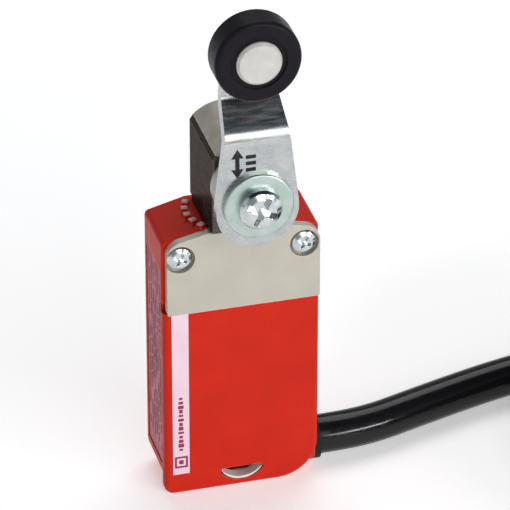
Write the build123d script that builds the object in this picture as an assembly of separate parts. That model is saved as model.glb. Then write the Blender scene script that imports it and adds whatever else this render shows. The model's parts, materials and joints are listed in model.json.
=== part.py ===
"""Miniature safety limit switch with a roller lever and a moulded-in cable.

Millimetres, +Z up. The switch stands on its base at Z = 0. The model is drawn about the
middle plane of the housing (front face towards -Y) and moved at the end, so that the
origin is the bottom centre of the switch without its cable.
"""

from build123d import *
from math import cos, degrees, pi, radians, sin, sqrt, tan
import os

# ---- driving dimensions -------------------------------------------------------------
BODY_W = 30.0                 # housing width, X
BODY_D = 14.0                 # housing depth, Y
EDGE_H = 55.0                 # height at the side edges
RIDGE_H = 57.0                # height of the flat top in the middle
RIDGE_HALF = 7.3              # half width of the flat top
WALL = 2.4                    # side walls of the housing
SHAFT_Z = 68.2                # height of the lever shaft
SHAFT_R = 3.0
ROLLER_Z = 97.3               # height of the roller axis
ROLLER_R = 8.0
ROLLER_W = 6.0
LEVER_T = 2.0
LEVER_FRONT = -18.3           # front face of the lever
LEVER_SETBACK = 5.7           # the upper half of the lever stands this far back
CAM_R = 4.4
CAM_FLAT = 3.0                # distance of the cam's flat from the shaft axis
CABLE_D = 7.7
COIL_MEAN_D = 10.4 * CABLE_D  # diameter at the middle of the coiled turns
MOUNT_PITCH = 20.0            # distance between the two rear M4 threads
MOUNT_Z = 44.0
RUN = 0.06                    # radial clearance of a running fit
SLIP = 0.02                   # radial clearance between parts that are fixed together
M4_MINOR_R = 1.65
M4_DEPTH = 6.0
M3_MINOR_R = 1.26

# ---- front cover, with its slot, and the housing's front ----------------------------
FRONT = -BODY_D / 2           # front face of the cover
BACK = BODY_D / 2
COVER_T = 2.0
COVER_H = 40.2
SEAM = FRONT + COVER_T        # plane where the cover meets the housing
STEP_Z = 42.2                 # above this the housing's front comes out to the head plate
CORNER_LEFT = 2.0             # lower corners of the front cover
CORNER_RIGHT = 7.8
SLOT_HALF = 4.3
SLOT_TOP = 4.35
SLOT_SIDE = 3.6               # height where its curved low edge begins
SLOT_LOW = 1.4
POCKET_HALF = 5.0             # pocket behind the cover's slot
POCKET_FLOOR = 0.9
POCKET_H = 5.0
POCKET_BACK = -1.5
GASKET_HALF = 13.9            # outside of the gasket's ring
GASKET_LOW = 6.3
GASKET_HIGH = 41.6
GASKET_W = 0.7
CAVITY_HALF = BODY_W / 2 - WALL
CAVITY_FLOOR = 7.2
CAVITY_BACK = 5.2
FILM_T = 0.12                 # thickness of the printed labels
LABEL_FLOOR = 0.3 - BODY_W / 2  # bottom of the side label's pocket
LABEL_LOW = 6.0
LABEL_HIGH = 48.8

# ---- head plate and head ------------------------------------------------------------
PLATE_T = 1.7
PLATE_FRONT = FRONT - 0.7
PLATE_BACK = PLATE_FRONT + PLATE_T
SCREW_X = 11.8                # places of the two plate screws
SCREW_Z = 52.0
SCREW_SEAT = PLATE_FRONT + 1.1
TONGUE_HALF = 5.2             # the plate's tongue, which holds the head's neck
TONGUE_BACK = -3.3
TONGUE_LOW = 52.4
TONGUE_HIGH = 54.1
HEAD_HALF = 6.4
HEAD_FRONT = -10.5
HEAD_BACK = 6.3
HEAD_BOTTOM = 57.1
NECK_R = 5.0
NECK_BOTTOM = 49.5
GROOVE_R = 3.9                # bottom of the two grooves round the neck
GUIDE_R = 2.75                # outside of the plunger's guide tube
RING_LOW = 50.3               # groove of the sealing ring
RING_HIGH = 51.7
CHAMBER_HALF = 4.9
CHAMBER_FRONT = -6.4
CHAMBER_BACK = 4.2
CAP_SEAM = 74.5               # plane where the head's cap begins
BOSS_R = 6.8                  # bearing boss in front of the head
BOSS_FRONT = -15.3
BUSH_BACK = -7.8
BUSH_R = 4.4
SEAL_R = 4.0

# ---- shaft, lever and roller --------------------------------------------------------
LEVER_BACK = LEVER_FRONT + LEVER_T
SHAFT_END = 5.2               # back end of the shaft
TAIL_R = 2.0                  # journal at the shaft's back end
SNAP_FRONT = -6.15            # groove of the retaining ring
SNAP_BACK = -5.5
SNAP_R = 2.5                  # bottom of that groove
CAM_PIN_Y = -1.0
CAM_PIN_R = 0.8
SQUARE_HALF = 2.3             # half width across the lever seat's two flats
TAP_R = 2.0                   # thread of the lever screw
TAP_END = -8.5
WASHER_T = 1.2
SCREW_HEAD_T = 2.3
RIVET_R = 2.0                 # roller pin in the lever
JOURNAL_R = 2.2               # roller pin in the roller's bush
TYRE_BORE_R = 3.0
ROLLER_BACK = LEVER_FRONT + LEVER_SETBACK - 0.55
ROLLER_FRONT = ROLLER_BACK - ROLLER_W

# ---- plunger and contact block ------------------------------------------------------
TRAVEL = CAM_R - CAM_FLAT
PLUNGER_TOP = SHAFT_Z - CAM_R - 0.3
PLUNGER_FLOOR = HEAD_BOTTOM + 2.1
PLUNGER_R = 1.5
STEM_TOP = 44.6
STEM_R = 1.8
BLOCK_HALF = 8.4
BLOCK_FRONT = -4.1
BLOCK_BACK = 5.0
BLOCK_BOTTOM = 10.4
BLOCK_TOP = 39.9
ROOM_HALF = 6.7
ROOM_BACK = 3.3
ROOM_FLOOR = 12.0
ROOM_TOP = 37.8
CARRIER_BOTTOM = 15.0
CARRIER_TOP = 36.0
BREAK_BAR_Z = 30.2
MAKE_BAR_Z = 20.6
BAR_T = 0.8
CONTACT_T = 0.6               # thickness of the fixed contacts' strip
TAIL_Z = 9.4                  # lower end of the solder tails

# ---- cable --------------------------------------------------------------------------
EXIT_Y = -0.5                 # place of the cable axis at the gland
EXIT_Z = 4.6
GLAND_R = 4.15
CABLE_END_X = 10.1            # the cable's end inside the housing
CORE_R = 0.6
CORE_CIRCLE = 2.2
CORE_ANGLES = (90, 18, 162, 234, 306)
CORE_RANKS = (2, 4, 0, 1, 3)  # order of the cores from left to right
LYING_Z = CABLE_D / 2 + 0.05  # height of the cable axis where it lies on the floor
COIL_X = 101.8                # centre of the coil, which has two layers of two turns
COIL_TOP_Y = 14.6             # where the cable joins the outer turn
COIL_Y = COIL_TOP_Y - (COIL_MEAN_D + CABLE_D) / 2
COIL_IN = COIL_MEAN_D / 2 - CABLE_D
COIL_OUT = COIL_MEAN_D / 2 + CABLE_D
COIL_H = 2 * CABLE_D + 0.1
TIE_ANGLE = -30.0
TIE_W = 3.6
TIE_T = 0.9
JACKET_END_ANGLE = 245.0

MODEL_FRONT = LEVER_FRONT - WASHER_T - SCREW_HEAD_T
ORIGIN_Y = (MODEL_FRONT + BACK) / 2
os.makedirs("parts", exist_ok=True)


# ---- small helpers ------------------------------------------------------------------
def block(x0, x1, y0, y1, z0, z1):
    """A box between two corners."""
    centre = Pos((x0 + x1) / 2, (y0 + y1) / 2, (z0 + z1) / 2)
    return centre * Box(x1 - x0, y1 - y0, z1 - z0)


def rod_x(r, x0, x1, y, z):
    return Pos((x0 + x1) / 2, y, z) * Rot(0, 90, 0) * Cylinder(r, x1 - x0)


def rod_y(r, y0, y1, x, z):
    return Pos(x, (y0 + y1) / 2, z) * Rot(90, 0, 0) * Cylinder(r, y1 - y0)


def rod_z(r, z0, z1, x=0.0, y=0.0):
    return Pos(x, y, (z0 + z1) / 2) * Cylinder(r, z1 - z0)


def facing(y):
    """A drawing plane that faces the front: local x is X, local y is Z."""
    return Plane(origin=(0, y, 0), x_dir=(1, 0, 0), z_dir=(0, -1, 0))


def slab(outline, front, back):
    """An outline drawn in X and Z, made solid from its back plane to its front plane."""
    return extrude(facing(back) * outline, amount=back - front)


def outline_of(points):
    return make_face(Polyline(*points, close=True))


def round_corner(face, x, z, r):
    """Round the corner of an outline that is nearest to (x, z)."""
    corner = min(face.vertices(), key=lambda v: (v.X - x) ** 2 + (v.Y - z) ** 2)
    return fillet(corner, r)


def lathe_y(points, x, z):
    """Turn a half profile, given as (distance along Y, radius), about an axis along Y."""
    profile = make_face(Polyline(*[(r, y, 0) for y, r in points], close=True))
    return Pos(x, 0, z) * revolve(profile, Axis.Y)


def lathe_z(points, x=0.0, y=0.0):
    """Turn a half profile, given as (height, radius), about a vertical axis."""
    profile = make_face(Polyline(*[(r, 0, z) for z, r in points], close=True))
    return Pos(x, y, 0) * revolve(profile, Axis.Z)


def spring(r, wire_r, z0, z1, turns, x=0.0, y=0.0):
    """A compression spring of round wire between two heights."""
    rise = z1 - z0 - 2 * wire_r
    helix = Helix(pitch=rise / turns, height=rise, radius=r)
    section = Plane(origin=helix @ 0, x_dir=(0, 0, 1), z_dir=helix % 0) * Circle(wire_r)
    return Pos(x, y, z0 + wire_r) * sweep(section, path=helix, is_frenet=True)


def bend_radii(points):
    """The radius at each inner point: 0.45 of the shorter run over the tangent of half the turn."""
    radii = []
    for a, b, c in zip(points, points[1:], points[2:]):
        into, out = Vector(*b) - Vector(*a), Vector(*c) - Vector(*b)
        half_turn = radians(into.get_angle(out)) / 2
        radii.append(0.45 * min(into.length, out.length) / tan(half_turn))
    return radii


def tube(points, r, radii=None):
    """A round tube along straight runs joined by tangent arcs."""
    path = FilletPolyline(*points, radius=radii or bend_radii(points))
    section = Plane(origin=path @ 0, z_dir=path % 0) * Circle(r)
    return sweep(section, path=path), path.length


# ---- housing ------------------------------------------------------------------------
def body_outline(corner_left, corner_right):
    """Front view of the body: flat base with round corners and a low ridged top."""
    half = BODY_W / 2
    face = outline_of([(-half, 0), (half, 0), (half, EDGE_H), (RIDGE_HALF, RIDGE_H),
                       (-RIDGE_HALF, RIDGE_H), (-half, EDGE_H)])
    face = round_corner(face, -half, 0, corner_left)
    face = round_corner(face, half, 0, corner_right)
    face = round_corner(face, -half, EDGE_H, 1.0)
    return round_corner(face, half, EDGE_H, 1.0)


def index_teeth():
    """Ribs beside the head, 15 degrees apart, that show the steps it can be turned in."""
    inner_r, outer_r, first, step = 8.1, 9.4, 5, 15
    rib = block(inner_r, outer_r, -0.6, 0.6, RIDGE_H - 0.7, RIDGE_H + 0.75)
    rib = fillet(rib.edges().group_by(Axis.Z)[-1], 0.35)
    angles = [first + step * i for i in range(360 // step)]
    return [Rot(0, 0, a) * rib for a in angles if abs(outer_r * sin(radians(a))) < 5.5]


def gland_rod(r, x0, x1):
    """A rod on the cable's axis at the gland."""
    return rod_x(r, x0, x1, EXIT_Y, EXIT_Z)


def make_housing():
    outline = body_outline(5.5, CORNER_RIGHT - 0.2)
    base = slab(outline, SEAM, BACK)
    base = fillet(base.edges().group_by(Axis.Y)[-1], 0.6)
    upper = slab(outline, PLATE_BACK, SEAM) & block(-20, 20, -20, 20, STEP_Z, 60)
    upper = fillet(upper.edges().filter_by(Axis.Z).group_by(Axis.Y)[0], 0.5)
    solid = base + upper
    for rib in index_teeth():
        solid += rib
    boss = gland_rod(EXIT_Z, 6.0, BODY_W / 2) & block(0, 20, SEAM, BACK, 0, 20)
    solid += boss
    # main cavity for the contact block, with round corners
    cavity = block(-CAVITY_HALF, CAVITY_HALF, SEAM, CAVITY_BACK, CAVITY_FLOOR, COVER_H)
    cavity = fillet(cavity.edges().filter_by(Axis.Y), 1.2)
    solid -= cavity
    # gasket groove round the cavity mouth
    solid -= gasket_ring(0.05, 0.75)
    # bores for the carrier stem and the head's neck
    solid -= rod_z(STEM_R + 0.5, COVER_H - 0.5, NECK_BOTTOM)
    solid -= rod_z(NECK_R + SLIP, NECK_BOTTOM - 0.4, RIDGE_H + 2)
    # slot for the plate's retaining tongue
    solid -= plate_tongue(0.1)
    # threads for the plate screws and, from behind, for mounting the switch
    screw_hole_end = 1.5
    for side in (-1, 1):
        solid -= rod_y(M3_MINOR_R, PLATE_BACK, screw_hole_end, side * SCREW_X, SCREW_Z)
        solid -= rod_y(M4_MINOR_R, BACK - M4_DEPTH, BACK, side * MOUNT_PITCH / 2, MOUNT_Z)
    # cable entry with a pocket for the cores
    solid -= gland_rod(GLAND_R, 10.0, BODY_W / 2)
    sump_half, sump_floor = 3.7, 1.3
    solid -= block(5.9, 10.0, -sump_half, sump_half, sump_floor, CAVITY_FLOOR)
    # pocket for the cover's clip, behind the slot of the cover
    pocket = block(-POCKET_HALF, POCKET_HALF, SEAM, POCKET_BACK, POCKET_FLOOR, POCKET_H)
    solid -= fillet(pocket.edges().filter_by(Axis.Y), 0.8)
    # pocket for the rating label on the left side
    return solid - block(-BODY_W / 2, LABEL_FLOOR, SEAM + 0.1, BACK - 1.4, LABEL_LOW, LABEL_HIGH)


def gasket_ring(gap, depth):
    """The closed ring that the gasket fills, pulled in or let out by a gap."""
    half, low, high, width = GASKET_HALF + gap, GASKET_LOW - gap, GASKET_HIGH + gap, GASKET_W + 2 * gap
    outer = block(-half, half, SEAM, SEAM + depth, low, high)
    return outer - block(width - half, half - width, SEAM, SEAM + depth, low + width, high - width)


def make_cover_latch():
    """White clip that lies along the low edge of the cover's slot and stands in the pocket."""
    half, low, thick, tip = SLOT_HALF - 0.35, SLOT_LOW + 0.1, 0.5, 0.15
    high = SLOT_SIDE + 0.1
    lip = Line((half, high), (half, high + tip))
    lip += ThreePointArc((half, high + tip), (0, low + thick), (-half, high + tip))
    lip += Line((-half, high + tip), (-half, high))
    lip += ThreePointArc((-half, high), (0, low), (half, high))
    foot = block(-1.2, 1.2, SEAM + 0.05, SEAM + 0.9, POCKET_FLOOR, low + thick - 0.15)
    return slab(make_face(lip), FRONT + 0.1, SEAM + 0.3) + foot


def make_cover_gasket():
    return gasket_ring(0.0, 0.7)


def make_front_cover():
    """Pressed front cover: hooked at the bottom slot, held at the top by the head plate."""
    half = BODY_W / 2
    face = outline_of([(-half, 0), (half, 0), (half, COVER_H), (-half, COVER_H)])
    face = round_corner(face, -half, 0, CORNER_LEFT)
    face = round_corner(face, half, 0, CORNER_RIGHT)
    cover = slab(face, FRONT, SEAM)
    rim = cover.edges().group_by(Axis.Y)[0]
    rim = rim.filter_by(lambda e: e.center().Z < COVER_H - 0.5)
    cover = fillet(rim, 1.0)
    cover += block(-half + 1.0, half - 1.0, PLATE_BACK + 0.05, SEAM, COVER_H - 1, STEP_Z - 0.1)
    return cover - slab(make_face(slot_outline()), FRONT - 1, SEAM + 1)


def slot_outline():
    """The cover's slot: flat above and curved below."""
    half, slant = SLOT_HALF, 0.6
    slot = Polyline((-half, SLOT_SIDE), (slant - half, SLOT_TOP), (half - slant, SLOT_TOP),
                    (half, SLOT_SIDE))
    return slot + ThreePointArc((half, SLOT_SIDE), (0, SLOT_LOW), (-half, SLOT_SIDE))


def make_front_label():
    left, right, low, high = -13.45, -10.25, 4.6, COVER_H - 0.1
    return block(left, right, FRONT - FILM_T, FRONT, low, high)


def make_side_label():
    gap = 0.2
    return block(LABEL_FLOOR - FILM_T, LABEL_FLOOR, SEAM + 0.1 + gap, BACK - 1.4 - gap,
                 LABEL_LOW + gap, LABEL_HIGH - gap)


# ---- head plate and its screws ------------------------------------------------------
def make_head_plate():
    """Steel plate under the head: its tongue locks the head's neck in the housing."""
    left, right, low, shoulder, top = -14.3, 14.85, COVER_H + 0.05, EDGE_H + 0.05, RIDGE_H - 0.1
    flat = 6.4
    face = outline_of([(left, low), (right, low), (right, shoulder), (flat, top), (-flat, top),
                       (left, shoulder)])
    for x, z, r in ((left, shoulder, 3.0), (right, shoulder, 3.2), (left, low, 0.4),
                    (right, low, 0.4)):
        face = round_corner(face, x, z, r)
    plate = slab(face, PLATE_FRONT, PLATE_BACK)
    plate += plate_tongue(0.0) - rod_z(GROOVE_R + 0.05, TONGUE_LOW - 1, TONGUE_HIGH + 1)
    for side in (-1, 1):
        plate -= rod_y(1.6, PLATE_FRONT - 1, PLATE_BACK + 1, side * SCREW_X, SCREW_Z)
        plate -= rod_y(2.8, PLATE_FRONT - 1, SCREW_SEAT, side * SCREW_X, SCREW_Z)
    return plate


def plate_tongue(gap):
    """The tongue behind the head plate, or with a gap the slot that it enters."""
    return block(-TONGUE_HALF - gap, TONGUE_HALF + gap, PLATE_BACK - 0.5, TONGUE_BACK + gap,
                 TONGUE_LOW - gap, TONGUE_HIGH + gap)


def cross_recess(y0, depth, span, width, x, z):
    """A cross-shaped driver recess, cut from the front face y0 inwards."""
    bar = block(-span / 2, span / 2, y0 - 1, y0 + depth, -width / 2, width / 2)
    cross = bar + Rot(0, 90, 0) * bar
    return Pos(x, 0, z) * Rot(0, 25, 0) * cross


def make_plate_screws():
    head_front = PLATE_FRONT - 0.1
    shank_r, tip_r = M3_MINOR_R - SLIP, 0.8
    screws = []
    for side in (-1, 1):
        x = side * SCREW_X
        screw = lathe_y([(head_front, 0), (head_front, 1.6), (head_front + 0.35, 2.25),
                         (head_front + 0.7, 2.4), (SCREW_SEAT, 2.4), (SCREW_SEAT, shank_r),
                         (0.8, shank_r), (1.2, tip_r), (1.2, 0)], x, SCREW_Z)
        screw -= cross_recess(head_front, 0.75, 2.6, 0.6, x, SCREW_Z)
        screws.append(screw)
    return Compound(children=screws)


# ---- head ---------------------------------------------------------------------------
def head_block():
    """Outer shape of the head above its flange: upright sides, narrow shoulders, low arch."""
    shoulder, side_top, crown_z, low = 5.75, 73.5, 76.8, HEAD_BOTTOM + 1.0
    front_view = Polyline((-shoulder, CAP_SEAM), (-HEAD_HALF, side_top), (-HEAD_HALF, low),
                          (HEAD_HALF, low), (HEAD_HALF, side_top), (shoulder, CAP_SEAM))
    front_view += ThreePointArc((shoulder, CAP_SEAM), (0, crown_z), (-shoulder, CAP_SEAM))
    solid = slab(make_face(front_view), HEAD_FRONT, HEAD_BACK)
    solid = fillet(solid.edges().group_by(Axis.Y)[-1], 0.6)
    return fillet(solid.edges().group_by(Axis.Y)[0], 0.5)


def cam_chamber():
    return block(-CHAMBER_HALF, CHAMBER_HALF, CHAMBER_FRONT, CHAMBER_BACK, HEAD_BOTTOM + 0.9,
                 CAP_SEAM)


def make_head():
    """Die-cast head: neck and flange below, cam chamber inside."""
    solid = head_block() & block(-10, 10, -20, 20, 50, CAP_SEAM)
    flange = rod_z(7.9, HEAD_BOTTOM, HEAD_BOTTOM + 1.3)
    solid += flange & block(-HEAD_HALF, HEAD_HALF, FRONT - 0.6, HEAD_BACK + 0.3, 50, 60)
    solid += rod_z(NECK_R, NECK_BOTTOM, HEAD_BOTTOM + 0.2)
    # groove that the plate's tongue enters, and groove for the sealing ring
    for low, high in ((TONGUE_LOW - 0.1, TONGUE_HIGH + 0.1), (RING_LOW, RING_HIGH)):
        solid -= rod_z(NECK_R + 1, low, high) - rod_z(GROOVE_R, low - 1, high + 1)
    # cam chamber, and the bore of the neck for the plunger guide
    solid -= cam_chamber()
    solid -= rod_z(GUIDE_R + 0.05, NECK_BOTTOM - 1, HEAD_BOTTOM + 2)
    # bores for the bush and the seal, and a blind bore for the shaft's tail
    solid -= rod_y(BUSH_R, HEAD_FRONT - 1, BUSH_BACK, 0, SHAFT_Z)
    solid -= rod_y(SEAL_R, BUSH_BACK - 0.1, CHAMBER_FRONT + 0.1, 0, SHAFT_Z)
    return solid - rod_y(TAIL_R + RUN, CHAMBER_BACK - 0.1, SHAFT_END + 0.2, 0, SHAFT_Z)


def make_bearing_boss():
    """Light boss that carries the outer half of the shaft's bush, in front of the head."""
    boss = rod_y(BOSS_R, BOSS_FRONT, HEAD_FRONT, 0, SHAFT_Z)
    boss = fillet(boss.edges().group_by(Axis.Y)[0], 0.5)
    return boss - rod_y(BUSH_R, BOSS_FRONT - 1, HEAD_FRONT + 1, 0, SHAFT_Z)


def make_head_cap():
    """Arched cap that closes the cam chamber from above."""
    return head_block() & block(-10, 10, -20, 20, CAP_SEAM, 80)


def make_head_seal():
    """Rubber ring in the groove of the head's neck."""
    ring = rod_z(NECK_R, RING_LOW + 0.05, RING_HIGH - 0.05)
    ring = fillet(ring.edges().filter_by(GeomType.CIRCLE), 0.4)
    return ring - rod_z(GROOVE_R + SLIP, RING_LOW - 1, RING_HIGH + 1)


def make_plunger_guide():
    """Plastic floor of the cam chamber with the plunger's guide tube."""
    slack = 0.05
    guide = block(-CHAMBER_HALF + slack, CHAMBER_HALF - slack, CHAMBER_FRONT + slack,
                  CHAMBER_BACK - slack, HEAD_BOTTOM + 0.9 + SLIP, PLUNGER_FLOOR)
    guide += rod_z(GUIDE_R, NECK_BOTTOM + 0.3, HEAD_BOTTOM + 1.5)
    return guide - rod_z(PLUNGER_R + RUN, NECK_BOTTOM - 1, PLUNGER_FLOOR + 1)


def make_shaft_bush():
    bush = rod_y(BUSH_R - SLIP, BOSS_FRONT + 0.1, BUSH_BACK - 0.05, 0, SHAFT_Z)
    return bush - rod_y(SHAFT_R + RUN, BOSS_FRONT - 1, BUSH_BACK + 1, 0, SHAFT_Z)


def make_shaft_seal():
    """Rubber ring behind the bush, which keeps dirt out of the cam chamber."""
    seal = rod_y(SEAL_R - SLIP, BUSH_BACK + 0.05, CHAMBER_FRONT - 0.05, 0, SHAFT_Z)
    return seal - rod_y(SHAFT_R + RUN, BUSH_BACK - 1, CHAMBER_FRONT + 1, 0, SHAFT_Z)


# ---- shaft, cam and lever -----------------------------------------------------------
def make_shaft():
    """Stepped shaft: tail journal, cam seat, bearing, flange and squared lever seat."""
    flange_r, flange_back, flange_front = 5.4, BOSS_FRONT - 0.1, LEVER_BACK
    shoulder, seat_end = CHAMBER_BACK - 0.3, LEVER_FRONT + 0.1
    shaft = lathe_y([(SHAFT_END, 0), (SHAFT_END, TAIL_R - 0.2), (SHAFT_END - 0.2, TAIL_R),
                     (shoulder, TAIL_R), (shoulder, SHAFT_R), (flange_back, SHAFT_R),
                     (flange_back, flange_r), (flange_front, flange_r), (flange_front, SHAFT_R),
                     (seat_end, SHAFT_R), (seat_end, 0)], 0, SHAFT_Z)
    for side in (-1, 1):
        flat = block(-4, 4, LEVER_FRONT - 1, flange_front, SQUARE_HALF, 4)
        shaft -= Pos(0, 0, SHAFT_Z) * Rot(0, 90 + 90 * side, 0) * flat
    shaft -= rod_y(TAP_R, LEVER_FRONT - 1, TAP_END, 0, SHAFT_Z)
    shaft -= rod_z(CAM_PIN_R, SHAFT_Z - 4, SHAFT_Z + 4, 0, CAM_PIN_Y)
    # groove for the retaining ring just behind the seal
    groove = rod_y(4, SNAP_FRONT, SNAP_BACK, 0, SHAFT_Z)
    return shaft - (groove - rod_y(SNAP_R, SNAP_FRONT - 1, SNAP_BACK + 1, 0, SHAFT_Z))


def make_retaining_ring():
    """Snap ring in the shaft's groove: keeps the shaft from pulling out of the bush."""
    ring = rod_y(3.9, SNAP_FRONT + 0.05, SNAP_BACK - 0.05, 0, SHAFT_Z)
    ring -= rod_y(SNAP_R + SLIP, SNAP_FRONT - 1, SNAP_BACK + 1, 0, SHAFT_Z)
    return ring - block(-1.2, 1.2, SNAP_FRONT - 1, SNAP_BACK + 1, SHAFT_Z, SHAFT_Z + 5)


def make_cam():
    """Round cam with a flat: turning it either way presses the plunger down."""
    cam = rod_y(CAM_R, -4.4, 2.6, 0, SHAFT_Z)
    cam -= block(-6, 6, -6, 6, SHAFT_Z - 6, SHAFT_Z - CAM_FLAT)
    cam -= rod_y(SHAFT_R + SLIP, -6, 6, 0, SHAFT_Z)
    return cam - rod_z(CAM_PIN_R + SLIP, SHAFT_Z - 6, SHAFT_Z + 6, 0, CAM_PIN_Y)


def make_cam_pin():
    """Cross pin that drives the cam from the shaft."""
    top = sqrt(CAM_R ** 2 - CAM_PIN_R ** 2) - 0.1
    return rod_z(CAM_PIN_R - SLIP, SHAFT_Z - CAM_FLAT + 0.2, SHAFT_Z + top, 0, CAM_PIN_Y)


def lever_outline():
    """Flat shape of the lever, unbent: a round end, straight tapering sides, a round tip."""
    end_r, end_drop, waist, tip_r = 7.7, 1.2, 5.3, 4.6
    end_half, end_z, waist_z = 7.62, SHAFT_Z + 0.1, SHAFT_Z + 19.6
    face = outline_of([(-end_half, end_z), (-waist, waist_z), (-tip_r, ROLLER_Z),
                       (tip_r, ROLLER_Z), (waist, waist_z), (end_half, end_z)])
    face += Pos(0, SHAFT_Z - end_drop) * Circle(end_r)
    return face + Pos(0, ROLLER_Z) * Circle(tip_r)


def round_bends(strip, heights, r):
    """Round the strip's edges along X that lie at these heights."""
    edges = strip.edges().filter_by(Axis.X)
    near = edges.filter_by(lambda e: min(abs(e.center().Z - z) for z in heights) < 0.05)
    return fillet(near, r)


def make_lever_arm():
    """Z-bent steel strip from the shaft to the roller."""
    bend_z, inner_r = 81.9, 2.0
    outer_r = inner_r + LEVER_T
    offset = LEVER_T * tan(radians(22.5))
    top_z = bend_z + LEVER_SETBACK
    front, back = LEVER_FRONT, LEVER_BACK
    side = Polyline((front, SHAFT_Z - 12), (front, bend_z), (front + LEVER_SETBACK, top_z),
                    (front + LEVER_SETBACK, ROLLER_Z + 8), (back + LEVER_SETBACK, ROLLER_Z + 8),
                    (back + LEVER_SETBACK, top_z - offset), (back, bend_z - offset),
                    (back, SHAFT_Z - 12), close=True)
    face = make_face(Plane.YZ * side)
    strip = extrude(face, amount=12, both=True)
    strip = round_bends(strip, (bend_z, top_z - offset), outer_r)
    strip = round_bends(strip, (bend_z - offset, top_z), inner_r)
    arm = strip & slab(lever_outline(), -30, 10)
    seat_half = SQUARE_HALF + SLIP
    arm -= rod_y(SHAFT_R + SLIP, front - 1, back + 1, 0, SHAFT_Z) & block(
        -4, 4, front - 1, back + 1, SHAFT_Z - seat_half, SHAFT_Z + seat_half)
    pin_back = back + LEVER_SETBACK
    return arm - rod_y(RIVET_R, pin_back - LEVER_T - 1, pin_back + 1, 0, ROLLER_Z)


def make_lever_washer():
    washer = rod_y(6.5, LEVER_FRONT - WASHER_T, LEVER_FRONT, 0, SHAFT_Z)
    washer = fillet(washer.edges().group_by(Axis.Y)[0], 0.35)
    return washer - rod_y(TAP_R + 0.15, LEVER_FRONT - 3, LEVER_FRONT + 1, 0, SHAFT_Z)


def make_lever_screw():
    """Pan-head screw that clamps the lever to the shaft."""
    seat = LEVER_FRONT - WASHER_T
    crown = seat - SCREW_HEAD_T
    shank_r, tip, tip_r = TAP_R - SLIP, TAP_END - 0.5, 1.4
    screw = lathe_y([(crown, 0), (crown, 2.6), (crown + 0.5, 3.6), (crown + 1.1, 4.0),
                     (seat, 4.1), (seat, shank_r), (tip - 0.4, shank_r), (tip, tip_r), (tip, 0)],
                    0, SHAFT_Z)
    return screw - cross_recess(crown, 1.6, 5.8, 1.25, 0, SHAFT_Z)


# ---- roller -------------------------------------------------------------------------
def make_roller():
    """Plastic tyre with round edges, turning with its bush on the pin."""
    body = rod_y(ROLLER_R, ROLLER_FRONT, ROLLER_BACK, 0, ROLLER_Z)
    body = fillet(body.edges(), 0.9)
    dish = rod_y(5.2, ROLLER_FRONT - 1, ROLLER_FRONT + 0.35, 0, ROLLER_Z)
    return body - dish - rod_y(TYRE_BORE_R, ROLLER_FRONT - 1, ROLLER_BACK + 1, 0, ROLLER_Z)


def make_roller_bush():
    front, back = ROLLER_FRONT + 0.45, ROLLER_BACK
    return (rod_y(TYRE_BORE_R - SLIP, front, back, 0, ROLLER_Z)
            - rod_y(JOURNAL_R + RUN, front - 1, back + 1, 0, ROLLER_Z))


def make_roller_pin():
    """Rivet with a broad flat head in front of the roller and a closed end behind the lever."""
    cap_back = ROLLER_FRONT + 0.25
    cap_front = ROLLER_FRONT - 0.65
    tail = LEVER_BACK + LEVER_SETBACK
    return lathe_y([(cap_front, 0), (cap_front, 3.7), (cap_front + 0.5, 4.2), (cap_back, 4.2),
                    (cap_back, JOURNAL_R), (ROLLER_BACK + 0.1, JOURNAL_R),
                    (ROLLER_BACK + 0.1, RIVET_R - SLIP), (tail, RIVET_R - SLIP), (tail, 3.0),
                    (tail + 0.5, 2.8), (tail + 0.9, 1.9), (tail + 0.9, 0)], 0, ROLLER_Z)


def make_roller_washer():
    """Thrust washer between the roller and the lever."""
    back = LEVER_FRONT + LEVER_SETBACK
    return (rod_y(4.2, back - 0.4, back, 0, ROLLER_Z)
            - rod_y(JOURNAL_R + 0.05, back - 1, back + 1, 0, ROLLER_Z))


# ---- plunger and contact block ------------------------------------------------------
def make_plunger():
    """Steel push rod with a broad foot for the cam."""
    foot_r, foot_back = 2.9, PLUNGER_TOP - 1.0
    return lathe_z([(STEM_TOP, 0), (STEM_TOP, PLUNGER_R), (foot_back, PLUNGER_R),
                    (foot_back, foot_r), (PLUNGER_TOP - 0.3, foot_r), (PLUNGER_TOP, 2.5),
                    (PLUNGER_TOP, 0)])


def make_plunger_spring():
    return spring(2.2, 0.25, PLUNGER_FLOOR, PLUNGER_TOP - 1.0, 3)


def make_contact_base():
    """Moulded tray of the contact block, open to the front."""
    base = block(-BLOCK_HALF, BLOCK_HALF, BLOCK_FRONT, BLOCK_BACK, BLOCK_BOTTOM, BLOCK_TOP)
    base -= block(-ROOM_HALF, ROOM_HALF, BLOCK_FRONT - 1, ROOM_BACK, ROOM_FLOOR, ROOM_TOP)
    base -= rod_z(STEM_R + 0.2, ROOM_TOP - 1, BLOCK_TOP + 1)
    for x, y, _ in contact_legs():
        base -= block(x - 0.55, x + 0.55, y - 0.85, y + 0.85, BLOCK_BOTTOM - 1, ROOM_FLOOR + 1)
    return base


def make_block_cover():
    cover = block(-BLOCK_HALF, BLOCK_HALF, SEAM + 0.1, BLOCK_FRONT, BLOCK_BOTTOM, BLOCK_TOP)
    return fillet(cover.edges().filter_by(Axis.Y), 0.8)


def contact_legs():
    """Each fixed contact's leg: its x and y, and the height of its contact arm."""
    break_arm = BREAK_BAR_Z + BAR_T + 0.65
    make_arm = MAKE_BAR_Z - TRAVEL - 0.05 - 1.1
    return [(6.1, -1.45, break_arm), (6.1, 1.55, make_arm),
            (-6.1, -1.95, break_arm), (-6.1, 1.95, make_arm)]


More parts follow.
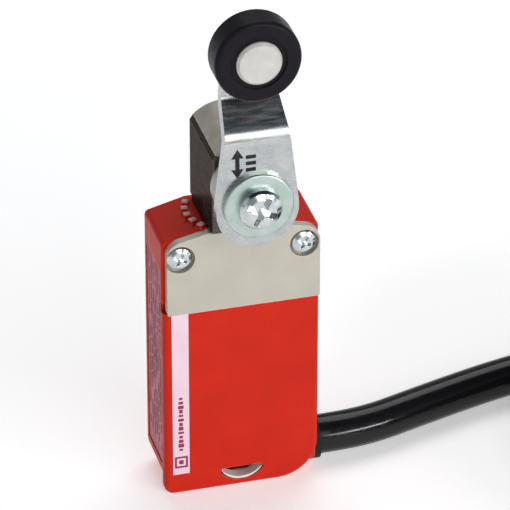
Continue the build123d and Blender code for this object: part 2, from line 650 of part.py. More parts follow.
def make_fixed_contacts():
    """Four brass strips: an inward arm with a contact tip, and a leg down to a solder tail."""
    strips = []
    for x, y, arm_z in contact_legs():
        side = 1 if x > 0 else -1
        above = arm_z > BREAK_BAR_Z
        thin, wide, top = CONTACT_T / 2, 0.75, arm_z + CONTACT_T
        strip = block(x - thin, x + thin, y - wide, y + wide, TAIL_Z, top)
        inner, outer = sorted((side * 3.6, x + side * thin))
        low, high = (-0.6, y + wide) if y > 0 else (y - wide, 0.9)
        strip += block(inner, outer, low, high, arm_z, top)
        tip_low, tip_high = (arm_z - 0.6, arm_z) if above else (top, top + 0.5)
        strip += rod_z(0.85, tip_low, tip_high, side * 4.55, 0.15)
        strips.append(strip)
    return Compound(children=strips)


def make_contact_carrier():
    """White plastic slider with a stem and two windows for the bridging contacts."""
    bar = block(-1.7, 1.7, -2.6, 2.6, CARRIER_BOTTOM, CARRIER_TOP)
    for z in (BREAK_BAR_Z, MAKE_BAR_Z):
        bar -= block(-3, 3, -1.2, 1.2, z - 3.4, z + BAR_T + 0.05)
    return bar + rod_z(STEM_R, CARRIER_TOP - 0.5, STEM_TOP)


def make_bridge_contacts():
    bars = []
    for z in (BREAK_BAR_Z, MAKE_BAR_Z):
        bar = block(-5.5, 5.5, -0.9, 0.9, z, z + BAR_T)
        bars.append(fillet(bar.edges().filter_by(Axis.Z), 0.6))
    return Compound(children=bars)


def make_bridge_springs():
    return Compound(children=[spring(0.8, 0.15, z - 3.38, z - 0.02, 4)
                              for z in (BREAK_BAR_Z, MAKE_BAR_Z)])


def make_return_spring():
    return spring(1.5, 0.2, ROOM_FLOOR + 0.02, CARRIER_BOTTOM - 0.02, 4)


# ---- cores inside the housing -------------------------------------------------------
def core_places():
    """The places of the five cores in the cable's section, as (sideways, up)."""
    return [(CORE_CIRCLE * cos(radians(a)), CORE_CIRCLE * sin(radians(a))) for a in CORE_ANGLES]


def make_inner_cores():
    """Insulated cores: one to the earth tag and four to the solder tails."""
    places = [(EXIT_Y + y, EXIT_Z + z) for y, z in core_places()]
    (y0, z0), (y1, z1), (y2, z2), (y3, z3), (y4, z4) = places
    start, lift, end, out = CABLE_END_X - 0.12, CAVITY_FLOOR + 0.7, TAIL_Z - 0.05, 3.3
    legs = contact_legs()
    routes = [[(start, y0, z0), (8.8, y0, z0), (8.8, 0, 9.2), (10.6, 2.6, 11.2), (10.6, 4.3, 13.0)]]
    for y, z, (leg_x, leg_y, _) in ((y1, z1, legs[3]), (y2, z2, legs[2])):
        wide = out if y > 0 else -out
        routes.append([(start, y, z), (7.6, y, z), (7.6, wide, lift), (0, wide, lift),
                       (leg_x, leg_y, lift), (leg_x, leg_y, end)])
    for y, z in ((y3, z3), (y4, z4)):
        routes.append([(start, y, z), (6.65, y, z), (6.65, y, end)])
    return Compound(children=[tube(r, CORE_R, [0.62] * (len(r) - 2))[0] for r in routes])


def make_earth_tag():
    """Brass tag on the housing's rear wall, where the earth core is soldered."""
    return block(9.6, 11.6, 4.4, CAVITY_BACK, 13.2, 17.0) - rod_y(0.6, 4, 6, 10.6, 15.6)


def make_potting(cores, contacts):
    """Resin that seals the cable end and the solder tails."""
    gap = 0.05
    resin = block(-CAVITY_HALF + 1.3, CAVITY_HALF - 1.3, SEAM + 0.1, CAVITY_BACK - gap,
                  CAVITY_FLOOR + gap, BLOCK_BOTTOM - gap)
    for piece in [*cores.solids(), *contacts.solids()]:
        resin -= piece
    return resin - gland_rod(GLAND_R, CABLE_END_X - gap, BODY_W / 2)


# ---- cable --------------------------------------------------------------------------
def make_cable_gland():
    """Rubber bush that seals the cable in the housing."""
    gland = gland_rod(GLAND_R - SLIP, 10.6, BODY_W / 2)
    gland += gland_rod(4.55, BODY_W / 2, BODY_W / 2 + 1.3)
    return gland - gland_rod(CABLE_D / 2 + 0.03, 10, 20)


def cable_route():
    """Points of the cable from inside the gland to where it joins the coil."""
    return [(CABLE_END_X, EXIT_Y, EXIT_Z), (19.0, -0.6, 4.5), (27.8, 0.9, 4.0),
            (36.5, 3.9, LYING_Z), (45.5, 6.8, LYING_Z), (55.0, 9.6, LYING_Z),
            (65.5, 11.9, LYING_Z), (77.0, 13.5, LYING_Z), (89.5, 14.4, LYING_Z),
            (COIL_X, COIL_TOP_Y, LYING_Z)]


def coil_place(angle):
    return Pos(COIL_X, COIL_Y, 0) * Rot(0, 0, angle)


def tie_loop(grow):
    """The closed strap round the coil's section, as a solid block grown by a margin."""
    return block(COIL_IN - 0.1 - grow, COIL_OUT + 0.1 + grow, -TIE_W / 2, TIE_W / 2,
                 TIE_T - grow, TIE_T + COIL_H + 0.15 + grow)


def make_cable_coil():
    """Outer shape of the coil, with a groove that lets the tie pass under it."""
    ring = lathe_z([(0, COIL_IN), (COIL_H, COIL_IN), (COIL_H, COIL_OUT), (0, COIL_OUT)])
    ring = fillet(ring.edges().filter_by(GeomType.CIRCLE), CABLE_D / 2 - 0.4)
    under = block(COIL_IN - 2, COIL_OUT + 2, -TIE_W / 2 - 0.2, TIE_W / 2 + 0.2, -1, TIE_T + 0.1)
    return Pos(COIL_X, COIL_Y, 0) * (ring - Rot(0, 0, TIE_ANGLE) * under)


def make_coil_tie():
    """Nylon tie with its lock and a short tail on the outside of the coil."""
    loop = tie_loop(TIE_T)
    loop = fillet(loop.edges().filter_by(Axis.Y), 2.2) - fillet(
        tie_loop(0).edges().filter_by(Axis.Y), 1.6)
    lock = block(COIL_OUT - 6.0, COIL_OUT - 1.0, -TIE_W / 2 - 0.6, TIE_W / 2 + 0.6,
                 TIE_T + COIL_H + 0.8, TIE_T + COIL_H + 3.6)
    lock = fillet(lock.edges().filter_by(Axis.Z), 0.5)
    tail = block(COIL_OUT - 14.0, COIL_OUT - 5.0, -1.1, 1.1, TIE_T + COIL_H + 2.0,
                 TIE_T + COIL_H + 2.9)
    return coil_place(TIE_ANGLE) * (loop + lock + tail)


def end_core_routes():
    """Routes of the five cores after the jacket's end, fanned out inside the coil."""
    out_angle = radians(JACKET_END_ANGLE)
    inner_r = COIL_MEAN_D / 2 - CABLE_D / 2
    end_x = COIL_X + inner_r * cos(out_angle)
    end_y = COIL_Y + inner_r * sin(out_angle)
    heading = degrees(out_angle) - 90
    floor = CORE_R + 0.05
    routes = []
    for i, (side, up) in enumerate(core_places()):
        spread = 2 - CORE_RANKS[i]
        here = radians(heading)
        turned = radians(heading - 44 + 10 * spread)
        last = radians(heading - 78 + 12 * spread)
        x0 = end_x + side * sin(here)
        y0 = end_y - side * cos(here)
        x1, y1 = x0 + 3.5 * cos(here), y0 + 3.5 * sin(here)
        x2, y2 = x1 + 6.5 * cos(turned), y1 + 6.5 * sin(turned)
        x3, y3 = x2 + 11.0 * cos(last), y2 + 11.0 * sin(last)
        high = LYING_Z + up
        routes.append([(x0, y0, high), (x1, y1, high), (x2, y2, (high + 3 * floor) / 4),
                       (x3, y3, floor)])
    return routes


def make_end_core(route):
    return tube(route, CORE_R)[0]


def make_ferrules(routes):
    """Crimped sleeves on the bare ends of the cores: a wide collar and a narrow barrel."""
    sleeves = []
    for route in routes:
        a, b = Vector(*route[-2]), Vector(*route[-1])
        ahead = Vector(b.X - a.X, b.Y - a.Y, 0).normalized()
        plane = Plane(origin=b + ahead * 0.3, z_dir=ahead)
        sleeve = extrude(plane * Circle(CORE_R), amount=1.5)
        sleeve += extrude(plane.offset(1.5) * Circle(CORE_R - 0.15), amount=6.0)
        sleeves.append(sleeve)
    return Compound(children=sleeves)


def report_cable(solid, length):
    """Print the bend radii and compare the tube's volume with its section times its length."""
    print("cable bend radii, mm:", [round(r) for r in bend_radii(cable_route())])
    print("cable tube length, mm:", round(length, 1),
          "volume over section times length:",
          round(solid.volume / (pi * CABLE_D ** 2 / 4 * length), 4))


# ---- all pieces ---------------------------------------------------------------------
def build():
    cable, cable_length = tube(cable_route(), CABLE_D / 2)
    report_cable(cable, cable_length)
    cores = make_inner_cores()
    contacts = make_fixed_contacts()
    end_routes = end_core_routes()
    pieces = {
        "housing": make_housing(),
        "front_cover": make_front_cover(),
        "cover_latch": make_cover_latch(),
        "cover_gasket": make_cover_gasket(),
        "front_label": make_front_label(),
        "side_label": make_side_label(),
        "head_plate": make_head_plate(),
        "plate_screws": make_plate_screws(),
        "head": make_head(),
        "head_cap": make_head_cap(),
        "bearing_boss": make_bearing_boss(),
        "head_seal": make_head_seal(),
        "plunger_guide": make_plunger_guide(),
        "shaft_bush": make_shaft_bush(),
        "shaft_seal": make_shaft_seal(),
        "shaft": make_shaft(),
        "retaining_ring": make_retaining_ring(),
        "cam": make_cam(),
        "cam_pin": make_cam_pin(),
        "lever_arm": make_lever_arm(),
        "lever_washer": make_lever_washer(),
        "lever_screw": make_lever_screw(),
        "roller_pin": make_roller_pin(),
        "roller_washer": make_roller_washer(),
        "roller": make_roller(),
        "roller_bush": make_roller_bush(),
        "plunger": make_plunger(),
        "plunger_spring": make_plunger_spring(),
        "contact_base": make_contact_base(),
        "contact_cover": make_block_cover(),
        "fixed_contacts": contacts,
        "contact_carrier": make_contact_carrier(),
        "bridge_contacts": make_bridge_contacts(),
        "bridge_springs": make_bridge_springs(),
        "return_spring": make_return_spring(),
        "inner_cores": cores,
        "earth_tag": make_earth_tag(),
        "potting": make_potting(cores, contacts),
        "cable_gland": make_cable_gland(),
        "cable": cable,
        "cable_coil": make_cable_coil(),
        "coil_tie": make_coil_tie(),
        "end_ferrules": make_ferrules(end_routes),
    }
    for colour, route in zip(("earth", "brown", "blue", "black", "grey"), end_routes):
        pieces[f"end_core_{colour}"] = make_end_core(route)
    return pieces


for name, piece in build().items():
    export_step(Pos(0, -ORIGIN_Y, 0) * piece, f"parts/{name}.step")
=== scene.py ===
"""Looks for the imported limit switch: camera, light, finishes, the cord and the printed marks.

Everything is in metres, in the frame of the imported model. Places come from the model's own
boxes; the cord repeats the route that the model's cable follows.
"""

import json
from math import cos, exp, radians, sin, sqrt

import bmesh
import bpy
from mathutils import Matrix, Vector


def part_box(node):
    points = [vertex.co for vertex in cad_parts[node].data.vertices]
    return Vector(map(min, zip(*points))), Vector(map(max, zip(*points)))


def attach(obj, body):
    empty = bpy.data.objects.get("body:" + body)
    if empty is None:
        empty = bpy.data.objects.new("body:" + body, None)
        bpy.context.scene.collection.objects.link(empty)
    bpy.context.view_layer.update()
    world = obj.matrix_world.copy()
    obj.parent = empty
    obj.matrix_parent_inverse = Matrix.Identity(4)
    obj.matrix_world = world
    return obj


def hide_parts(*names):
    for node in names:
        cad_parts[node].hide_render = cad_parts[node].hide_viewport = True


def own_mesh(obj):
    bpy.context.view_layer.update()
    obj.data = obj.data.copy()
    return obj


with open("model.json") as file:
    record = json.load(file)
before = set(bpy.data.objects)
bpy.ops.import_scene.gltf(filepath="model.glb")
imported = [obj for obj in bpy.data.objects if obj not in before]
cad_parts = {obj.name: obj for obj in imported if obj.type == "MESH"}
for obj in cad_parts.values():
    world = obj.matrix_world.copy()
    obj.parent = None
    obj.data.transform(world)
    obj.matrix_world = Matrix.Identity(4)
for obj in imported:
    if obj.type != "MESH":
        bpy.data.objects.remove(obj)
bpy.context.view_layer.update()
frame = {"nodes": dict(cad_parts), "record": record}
nodes = frame["nodes"]
record_colours = {m["slot"]: m["base_color"] for m in frame["record"]["materials"]}

MM = 0.001
COVER_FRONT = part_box("front_cover")[0][1]
HOUSING_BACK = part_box("housing")[1][1]
MIDDLE_Y = (COVER_FRONT + HOUSING_BACK) / 2
RIB_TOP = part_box("housing")[1][2]

# ---- camera -------------------------------------------------------------------------
AZIMUTH = -15.3
ELEVATION = 31.0
DISTANCE = 0.8
VIEW_WIDTH = 94.8 * MM        # what the picture spans at the aim point
AIM_HEIGHT = 45 * MM
AIM_RIGHT = 4.31 * MM
AIM_UP = 1.57 * MM

# ---- cord ---------------------------------------------------------------------------
CABLE_D = 7.7 * MM
LYING_Z = CABLE_D / 2 + 0.05 * MM
COIL_MEAN_R = 5.2 * CABLE_D
COIL_X = 101.8 * MM
COIL_Y = MIDDLE_Y + 14.6 * MM - COIL_MEAN_R - CABLE_D / 2
COIL_POINTS = 24              # control points for each turn
COIL_SHIFTS = 3               # changes of place before the jacket's end, one in each turn
COIL_END = 1285.0             # degrees travelled round the coil to the jacket's end
SHIFT_START = 208.0           # in each turn the cord changes its place between these angles
SHIFT_STOP = 328.0
TIE_ANGLE = -30.0
TIE_T = 0.9 * MM
TIE_RAMP = 9.0                # degrees over which the lowest strand rises onto the tie


def direction(azimuth, elevation):
    """Unit vector from the aim point towards a camera or a light at those angles."""
    az, el = radians(azimuth), radians(elevation)
    return Vector((sin(az) * cos(el), -cos(az) * cos(el), sin(el)))


def set_camera():
    back = direction(AZIMUTH, ELEVATION)
    az = radians(AZIMUTH)
    right = Vector((cos(az), sin(az), 0))
    up = back.cross(right)
    aim = Vector((0, MIDDLE_Y, AIM_HEIGHT)) + AIM_RIGHT * right + AIM_UP * up
    data = bpy.data.cameras.new("camera")
    data.lens = data.sensor_width * DISTANCE / VIEW_WIDTH
    data.clip_end = 20
    camera = bpy.data.objects.new("camera", data)
    camera.location = aim + DISTANCE * back
    camera.rotation_euler = back.to_track_quat("Z", "Y").to_euler()
    bpy.context.collection.objects.link(camera)
    bpy.context.scene.camera = camera
    return aim


# ---- shader helpers -----------------------------------------------------------------
MIX_FACTOR, MIX_A, MIX_B = 0, 6, 7    # colour inputs of the mix node, and its colour output
MIX_RESULT = 2


class Finish:
    """A procedural material. Values that are the same all over go straight on its shader."""

    def __init__(self, name, colour, roughness, metallic=0.0, **extra):
        self.name = name
        self.material = bpy.data.materials.new(f"{name}_finish")
        self.material.use_nodes = True
        self.tree = self.material.node_tree
        self.shader = self.tree.nodes["Principled BSDF"]
        self.colour = [*colour[:3], 1.0]
        self.painted = None
        set_values(self.shader, {"Base Color": self.colour, "Roughness": roughness,
                                 "Metallic": metallic})
        set_values(self.shader, extra)
        self.place = self.add("ShaderNodeTexCoord").outputs["Object"]

    def add(self, kind, **values):
        node = self.tree.nodes.new(kind)
        set_values(node, values)
        return node

    def join(self, output, socket):
        self.tree.links.new(output, socket)

    def noise(self, size, detail=3.0, stretch=(1, 1, 1)):
        """Noise with features of about that size, drawn out along the axes in stretch."""
        mapping = self.add("ShaderNodeMapping", Scale=[1 / s for s in stretch])
        self.join(self.place, mapping.inputs["Vector"])
        node = self.add("ShaderNodeTexNoise", Scale=1 / size, Detail=detail)
        self.join(mapping.outputs["Vector"], node.inputs["Vector"])
        return node.outputs["Fac"]

    def remap(self, value, from_low, from_high, to_low, to_high):
        node = self.add("ShaderNodeMapRange")
        for index, limit in enumerate((from_low, from_high, to_low, to_high), 1):
            node.inputs[index].default_value = limit
        self.join(value, node.inputs["Value"])
        return node.outputs["Result"]

    def times(self, a, b):
        node = self.tree.nodes.new("ShaderNodeMath")
        node.operation = "MULTIPLY"
        self.join(a, node.inputs[0])
        self.join(b, node.inputs[1])
        return node.outputs["Value"]

    def mix(self, factor, a, b):
        """Colour a where factor is 0 and colour b where it is 1; each may be a node's output."""
        node = self.tree.nodes.new("ShaderNodeMix")
        node.data_type = "RGBA"
        self.join(factor, node.inputs[MIX_FACTOR])
        for index, colour in ((MIX_A, a), (MIX_B, b)):
            if isinstance(colour, bpy.types.NodeSocket):
                self.join(colour, node.inputs[index])
            else:
                node.inputs[index].default_value = [*colour[:3], 1.0]
        return node.outputs[MIX_RESULT]

    def paint(self, factor, colour):
        """Lay another colour over what is painted so far, where factor is 1."""
        below = self.colour if self.painted is None else self.painted
        self.painted = self.mix(factor, below, colour)
        self.join(self.painted, self.shader.inputs["Base Color"])
        return self

    def mottle(self, size, amount, stretch=(1, 1, 1), tint=(1, 1, 1)):
        """Patches of a darker shade of the base colour, pulled towards a tint."""
        patches = self.remap(self.noise(size, 4.0, stretch), 0.35, 0.7, 0.0, 1.0)
        darker = [c * (1 - amount) * t for c, t in zip(self.colour, tint)]
        return self.paint(patches, darker)

    def edges(self, radius):
        """1 on sharp edges and 0 on faces: a bevelled normal leaves the face's own there."""
        bevel = self.add("ShaderNodeBevel", Radius=radius)
        face = self.add("ShaderNodeNewGeometry")
        dot = self.tree.nodes.new("ShaderNodeVectorMath")
        dot.operation = "DOT_PRODUCT"
        self.join(bevel.outputs["Normal"], dot.inputs[0])
        self.join(face.outputs["Normal"], dot.inputs[1])
        return self.remap(dot.outputs["Value"], 0.985, 0.88, 0.0, 1.0)

    def above(self, height, blend):
        """1 above a height and 0 below it, with a soft step between."""
        split = self.add("ShaderNodeSeparateXYZ")
        self.join(self.place, split.inputs["Vector"])
        return self.remap(split.outputs["Z"], height - blend, height + blend, 0.0, 1.0)

    def wear(self, radius, colour, amount, size=0.8 * MM):
        """Edges rubbed to another colour, in uneven patches."""
        patches = self.remap(self.noise(size), 0.35, 0.6, 0.25 * amount, amount)
        return self.paint(self.times(self.edges(radius), patches), colour)

    def vary_roughness(self, size, low, high, stretch=(1, 1, 1)):
        value = self.remap(self.noise(size, 4.0, stretch), 0.3, 0.7, low, high)
        self.join(value, self.shader.inputs["Roughness"])
        return self

    def grain(self, size, depth, stretch=(1, 1, 1), soften=0.0):
        """Bumps of that size and depth; soften rounds the look of sharp edges by a radius."""
        bump = self.add("ShaderNodeBump", Strength=1.0, Distance=depth)
        self.join(self.noise(size, 3.0, stretch), bump.inputs["Height"])
        if soften:
            bevel = self.add("ShaderNodeBevel", Radius=soften)
            self.join(bevel.outputs["Normal"], bump.inputs["Normal"])
        self.join(bump.outputs["Normal"], self.shader.inputs["Normal"])
        return self


def set_values(node, values):
    for socket, value in values.items():
        node.inputs[socket.replace("_", " ")].default_value = value


# ---- finishes -----------------------------------------------------------------------
WORN_RED = (0.78, 0.3, 0.28)          # paint rubbed thin on its edges
RIB_TOP_HIGHLIGHT = (0.84, 0.5, 0.47)          # painted highlight: rib tops painted light in place of the light they catch
WORN_PLATE = (0.86, 0.8, 0.72)
WORN_CASTING = (0.74, 0.7, 0.64)
BRIGHT_METAL = (0.92, 0.92, 0.9)
SMUDGED_PRINT = (0.24, 0.05, 0.08)
YELLOW_BAND = (0.8, 0.62, 0.03)
BLACK_INK = (0.012, 0.012, 0.014)
PURPLE_INK = (0.3, 0.03, 0.1)
MAROON_INK = (0.16, 0.02, 0.04)
FLOOR_WHITE = (0.88, 0.88, 0.88)


def painted(slot, roughness=0.4):
    """Sprayed paint: fine orange peel, a little uneven, rubbed pale on the edges."""
    look = Finish(slot, record_colours[slot], roughness, Specular_IOR_Level=0.1)
    look.mottle(9 * MM, 0.1).wear(0.3 * MM, WORN_RED, 0.75)
    look.vary_roughness(3 * MM, roughness - 0.06, roughness + 0.08)
    return look.grain(0.7 * MM, 0.012 * MM, soften=0.3 * MM)


def housing_paint():
    """Paint of the housing, with a painted highlight: the tops of the ribs beside the head are
    painted a light pinkish red in place of the light they catch.
    """
    look = painted("red_paint")
    # painted highlight on the rib tops, laid on by height
    return look.paint(look.above(RIB_TOP - 0.25 * MM, 0.12 * MM), RIB_TOP_HIGHLIGHT)


def plated_sheet(slot):
    """Satin lacquer on rolled steel sheet."""
    look = Finish(slot, record_colours[slot], 0.45, 0.35)
    look.mottle(6 * MM, 0.08).wear(0.25 * MM, WORN_PLATE, 0.9)
    look.vary_roughness(1.5 * MM, 0.4, 0.52, (4, 1, 1))
    return look.grain(0.35 * MM, 0.006 * MM, (3, 1, 1), 0.2 * MM)


def cast(slot, metallic=0.4, roughness=0.42, **extra):
    """Blasted die casting, with rubbed edges and a pitted skin."""
    look = Finish(slot, record_colours[slot], roughness, metallic, **extra)
    look.mottle(4 * MM, 0.22, tint=(1.0, 0.97, 0.93)).wear(0.3 * MM, WORN_CASTING, 0.85)
    look.vary_roughness(1.2 * MM, roughness - 0.08, roughness + 0.08)
    return look.grain(0.3 * MM, 0.012 * MM, soften=0.3 * MM)


def metal(slot, roughness, stretch=(1, 1, 1), tint=(0.9, 0.93, 1.0), bloom=0.14):
    """Bright metal with a drawn or rolled grain and a faint tinted bloom."""
    look = Finish(slot, record_colours[slot], roughness, 1.0)
    look.mottle(2.5 * MM, bloom, tint=tint)
    look.wear(0.15 * MM, BRIGHT_METAL, 0.7)
    look.vary_roughness(0.5 * MM, roughness - 0.06, roughness + 0.1, stretch)
    return look.grain(0.25 * MM, 0.004 * MM, stretch, 0.12 * MM)


def plastic(slot, roughness, soften=0.15, **extra):
    """Moulded plastic or rubber: faint flow marks and a fine skin."""
    look = Finish(slot, record_colours[slot], roughness, 0.0, **extra)
    look.mottle(3 * MM, 0.15).vary_roughness(1 * MM, roughness - 0.05, roughness + 0.1)
    return look.grain(0.3 * MM, 0.005 * MM, soften=soften * MM)


def film(slot, roughness, **extra):
    """Printed plastic film."""
    look = Finish(slot, record_colours[slot], roughness, 0.0, **extra)
    look.mottle(5 * MM, 0.08).vary_roughness(2 * MM, roughness - 0.05, roughness + 0.08)
    return look.grain(0.5 * MM, 0.004 * MM)


def side_film():
    """Film on the side: the red below shows through it in smudged rows."""
    look = film("side_print", 0.45, Specular_IOR_Level=0.12)
    rows = look.remap(look.noise(1.1 * MM, 2.0, (1, 0.8, 5)), 0.45, 0.6, 0.0, 0.75)
    return look.paint(rows, SMUDGED_PRINT)


def earth_core():
    """Green insulation with yellow bands."""
    look = plastic("core_earth", 0.4)
    bands = look.add("ShaderNodeTexWave", Scale=130.0, Distortion=0.0)
    look.join(look.place, bands.inputs["Vector"])
    return look.paint(look.remap(bands.outputs["Fac"], 0.45, 0.55, 0.0, 1.0), YELLOW_BAND)


def ink(name, colour):
    """Printed ink, a little patchy."""
    look = Finish(name, colour, 0.5, Specular_IOR_Level=0.15)
    patches = look.remap(look.noise(0.25 * MM), 0.45, 0.75, 0.0, 1.0)
    look.paint(patches, [c + 0.04 for c in colour])
    return look.grain(0.15 * MM, 0.003 * MM)


def make_finishes():
    along_x, along_y = (8, 1, 1), (1, 8, 1)
    # grey_casting and cap_casting are one die casting in two copies. The head's darker, more
    # metallic copy is painted shade on its sides. The cap's lighter, duller copy is painted light
    # on its top. The head's reddish specular tint is a painted reflection of the red housing.
    shaded_casting = cast("grey_casting", 0.85, 0.28, Specular_Tint=(0.26, 0.22, 0.21, 1))
    looks = [housing_paint(), painted("red_cover"),
             plated_sheet("grey_plate"), shaded_casting, cast("cap_casting", 0.15),
             cast("boss_casting"), metal("zinc_steel", 0.25, along_x, bloom=0.1),
             metal("zinc_washer", 0.32, tint=(0.95, 1.0, 0.97)),
             metal("screw_steel", 0.14), metal("shaft_steel", 0.25, along_y),
             metal("bronze", 0.4, tint=(0.9, 0.8, 0.7)), metal("brass_contact", 0.3, along_x),
             metal("spring_steel", 0.25), metal("tin", 0.3),
             plastic("black_rubber", 0.5, Specular_IOR_Level=0.1),
             plastic("roller_plastic", 0.35, 0.3, Specular_IOR_Level=0.08),
             plastic("rivet_white", 0.35, 0.25), plastic("block_plastic", 0.45),
             plastic("clear_plastic", 0.12, Transmission_Weight=0.9),
             plastic("white_plastic", 0.4), plastic("resin", 0.25),
             plastic("cable_jacket", 0.14, 0.0, Specular_IOR_Level=0.25),
             plastic("tie_nylon", 0.35),
             plastic("core_mixed", 0.4), earth_core(), plastic("core_brown", 0.4),
             plastic("core_blue", 0.4), plastic("core_black", 0.4), plastic("core_grey", 0.4),
             film("label_print", 0.35, Coat_Weight=0.25), side_film()]
    return {look.name: look.material for look in looks}


def finish_nodes(finishes):
    """Give every CAD node the finish of its slot in the record."""
    for part in frame["record"]["subparts"]:
        for slot in nodes[part["node"]].material_slots:
            slot.material = finishes[part["material_slot"]]


# ---- springs ------------------------------------------------------------------------
def shorten_springs():
    """Give each of the springs under the plunger a mesh of its own."""
    for name in ("plunger_spring", "return_spring"):
        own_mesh(nodes[name])


# ---- cord ---------------------------------------------------------------------------
def smooth(t):
    """Ease from 0 to 1 as t does, and stay level outside."""
    t = min(1.0, max(0.0, t))
    return t * t * (3 - 2 * t)


def coil_place(travelled):
    """Where the cord is after so many degrees round the coil, clockwise from the back.

    The coil's section has four places, a diameter apart. Once a turn every strand moves on
    by one place, a quarter turn about the section's middle, so the strands never meet.
    """
    shift = SHIFT_STOP - SHIFT_START
    quarters = sum(smooth((travelled - SHIFT_START - 360 * turn) / shift)
                   for turn in range(COIL_SHIFTS))
    place = radians(90 * quarters - 45)
    reach = CABLE_D / sqrt(2)
    angle = 90 - travelled
    from_tie = (angle - TIE_ANGLE + 180) % 360 - 180
    r = COIL_MEAN_R + reach * cos(place)
    over_tie = TIE_T * exp(-(from_tie / TIE_RAMP) ** 2)
    height = LYING_Z + CABLE_D / 2 + reach * sin(place) + over_tie
    return Vector((COIL_X + r * cos(radians(angle)), COIL_Y + r * sin(radians(angle)), height))


def cable_points():
    """The route to the coil, from inside the gland, and then the turns of the coil."""
    route = [(10.1, -0.5, 4.6), (19.0, -0.6, 4.5), (27.8, 0.9, 4.0), (36.5, 3.9, 3.9),
             (45.5, 6.8, 3.9), (55.0, 9.6, 3.9), (65.5, 11.9, 3.9), (77.0, 13.5, 3.9),
             (89.5, 14.4, 3.9), (101.8, 14.6, 3.9)]
    points = [Vector((x * MM, MIDDLE_Y + y * MM, z * MM)) for x, y, z in route]
    step = 360 / COIL_POINTS
    points += [coil_place(step * i) for i in range(1, int(COIL_END / step) + 1)]
    return points + [coil_place(COIL_END)]


def make_cable(finishes):
    data = bpy.data.curves.new("cable_cord", "CURVE")
    data.dimensions = "3D"
    data.bevel_depth = CABLE_D / 2
    data.bevel_resolution = 6
    data.resolution_u = 6
    data.use_fill_caps = True
    spline = data.splines.new("NURBS")
    points = cable_points()
    spline.points.add(len(points) - 1)
    for knot, place in zip(spline.points, points):
        knot.co = (*place, 1.0)
    spline.order_u = 3
    spline.use_endpoint_u = True
    cable = bpy.data.objects.new("cable_cord", data)
    bpy.context.collection.objects.link(cable)
    data.materials.append(finishes["cable_jacket"])
    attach(cable, "root")
    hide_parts("cable", "cable_coil")


# ---- printed marks ------------------------------------------------------------------
INK_T = 0.02 * MM


def mesh_object(name, mesh, material):
    """Turn a bmesh into a linked object with one material."""
    data = bpy.data.meshes.new(name)
    mesh.to_mesh(data)
    mesh.free()
    data.materials.append(material)
    made = bpy.data.objects.new(name, data)
    bpy.context.collection.objects.link(made)
    return made


def add_plate(mesh, corners, thickness):
    """A thin plate: a face through the corners and its walls back to the surface below."""
    face = mesh.faces.new([mesh.verts.new(c) for c in corners])
    walls = bmesh.ops.extrude_face_region(mesh, geom=[face])
    moved = [v for v in walls["geom"] if isinstance(v, bmesh.types.BMVert)]
    bmesh.ops.translate(mesh, verts=moved, vec=thickness)
    bmesh.ops.recalc_face_normals(mesh, faces=mesh.faces)


def rounded(cu, cv, half_u, half_v, corner, steps=3):
    """Corner points of a rectangle with round corners, in its own two directions."""
    points = []
    for su, sv, start in ((1, 1, 0), (-1, 1, 90), (-1, -1, 180), (1, -1, 270)):
        for i in range(steps + 1):
            a = radians(start + 90 * i / steps)
            points.append((cu + su * (half_u - corner) + corner * cos(a),
                           cv + sv * (half_v - corner) + corner * sin(a)))
    return points


def make_marks(name, outlines, to_space, outward, material, body):
    """Ink in several outlines on one surface, as one piece."""
    mesh = bmesh.new()
    for outline in outlines:
        add_plate(mesh, [to_space(u * MM, v * MM) for u, v in outline], outward * INK_T)
    marks = mesh_object(name, mesh, material)
    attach(marks, body)


def lever_marks():
    """A two-way arrow and three short bars, beside the lever's screw."""
    x, low, high = -3.8, 73.9, 79.9
    head, half, shaft = 1.9, 1.15, 0.4
    bar_x, bar_low, pitch = -1.3, 75.5, 1.3
    arrow = [(x, low), (x + half, low + head), (x + shaft, low + head), (x + shaft, high - head),
             (x + half, high - head), (x, high), (x - half, high - head),
             (x - shaft, high - head), (x - shaft, low + head), (x - half, low + head)]
    bars = [rounded(bar_x, bar_low + pitch * i, 0.95, 0.38, 0.15) for i in range(3)]
    return [arrow, *bars]


def label_marks():
    """Uneven short bars up the label, over a plain square frame."""
    x, lowest, pitch, count = -11.85, 10.1, 0.95, 13
    bars = []
    for i in range(count):
        wide, tall = 0.35 + 0.1 * (i * 5 % 3), 0.24 + 0.06 * (i * 7 % 4)
        bars.append(rounded(x, lowest + pitch * i, wide, tall, 0.1))
    side, stroke, middle = 1.07, 0.2, 7.3
    frame_bars = [rounded(x + s * side, middle, stroke, side + stroke, 0.1) for s in (-1, 1)]
    frame_bars += [rounded(x, middle + s * side, side - stroke, stroke, 0.02) for s in (-1, 1)]
    return [*bars, *frame_bars, rounded(x, middle, 0.45, 0.45, 0.2)]


def side_marks():
    """Rows of dashes of uneven length that run up the side label."""
    rows, pitch, low, high = 6, 1.55, 8.5, 47.0
    dashes = []
    for row in range(rows):
        y = (row - (rows - 1) / 2) * pitch + 0.3
        z, i = low + 0.7 * (row % 3), row
        while z < high:
            length = 0.8 + 2.6 * abs(sin(2.7 * i + row))
            dashes.append(rounded(y, min(z + length / 2, high), 0.3, length / 2, 0.15))
            z += length + 0.6 + 2.2 * (i % 5 == 0)
            i += 1
    return dashes


def add_marks():
    label_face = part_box("front_label")[0][1]
    lever_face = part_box("lever_arm")[0][1]
    side_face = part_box("side_label")[0][0]
    front, left = Vector((0, -1, 0)), Vector((-1, 0, 0))
    black = ink("ink_black", BLACK_INK).material
    purple = ink("ink_purple", PURPLE_INK).material
    maroon = ink("ink_maroon", MAROON_INK).material
    make_marks("lever_print", lever_marks(), lambda x, z: Vector((x, lever_face, z)), front,
               black, "lever")
    make_marks("label_bars", label_marks(), lambda x, z: Vector((x, label_face, z)), front,
               purple, "root")
    make_marks("side_rows", side_marks(), lambda y, z: Vector((side_face, MIDDLE_Y + y, z)), left,
               maroon, "root")


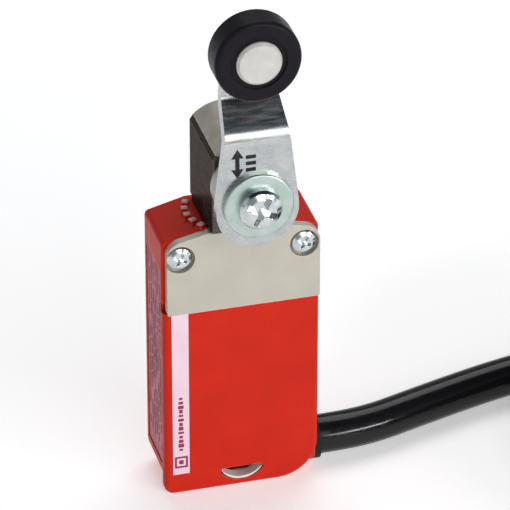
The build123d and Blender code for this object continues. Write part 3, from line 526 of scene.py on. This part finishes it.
# ---- floor and light ----------------------------------------------------------------
FLOOR_HALF = 3.0
FLOOR_DROP = 0.05 * MM
FLOOR_GLOW = 0.42
WORLD_STRENGTH = 0.45
LIGHTS = {                            # azimuth, elevation, distance, width and height, watts
    "key": (8, 30, 1.0, (0.4, 0.36), 2.2),
    "side": (36, 12, 1.0, (0.5, 0.06), 4.0),
    "fill": (-75, 25, 1.2, (0.6, 0.8), 0.5),
    "back": (160, 58, 1.2, (1.0, 0.8), 7.0),
}


def make_floor():
    look = Finish("floor", FLOOR_WHITE, 0.6, 0.0, Emission_Color=(1, 1, 1, 1),
                  Emission_Strength=FLOOR_GLOW)
    look.mottle(60 * MM, 0.02).grain(2 * MM, 0.01 * MM)
    mesh = bmesh.new()
    bmesh.ops.create_grid(mesh, x_segments=8, y_segments=8, size=FLOOR_HALF)
    floor = mesh_object("floor", mesh, look.material)
    floor.location.z = -FLOOR_DROP


def soft_light(name, aim, azimuth, elevation, distance, size, power):
    back = direction(azimuth, elevation)
    data = bpy.data.lights.new(name, "AREA")
    data.shape = "RECTANGLE"
    data.size, data.size_y = size
    data.energy = power
    light = bpy.data.objects.new(name, data)
    light.location = aim + distance * back
    light.rotation_euler = back.to_track_quat("Z", "Y").to_euler()
    bpy.context.collection.objects.link(light)


def make_world():
    """An even pale surround that grows darker and bluer overhead."""
    world = bpy.data.worlds.new("studio")
    world.use_nodes = True
    bpy.context.scene.world = world
    tree = world.node_tree
    place = tree.nodes.new("ShaderNodeTexCoord")
    split = tree.nodes.new("ShaderNodeSeparateXYZ")
    tree.links.new(place.outputs["Generated"], split.inputs["Vector"])
    ramp = tree.nodes.new("ShaderNodeValToRGB")
    ramp.color_ramp.elements[0].position = 0.35
    ramp.color_ramp.elements[0].color = (0.75, 0.75, 0.75, 1)
    ramp.color_ramp.elements[1].position = 0.75
    ramp.color_ramp.elements[1].color = (0.05, 0.08, 0.12, 1)
    tree.links.new(split.outputs["Z"], ramp.inputs["Fac"])
    background = tree.nodes["Background"]
    background.inputs["Strength"].default_value = WORLD_STRENGTH
    tree.links.new(ramp.outputs["Color"], background.inputs["Color"])


def light_scene(aim):
    make_world()
    for name, values in LIGHTS.items():
        soft_light(name, aim, *values)
    bpy.context.scene.view_settings.view_transform = "Standard"


# ---- the scene ----------------------------------------------------------------------
aim_point = set_camera()
all_finishes = make_finishes()
finish_nodes(all_finishes)
shorten_springs()
make_cable(all_finishes)
add_marks()
make_floor()
light_scene(aim_point)
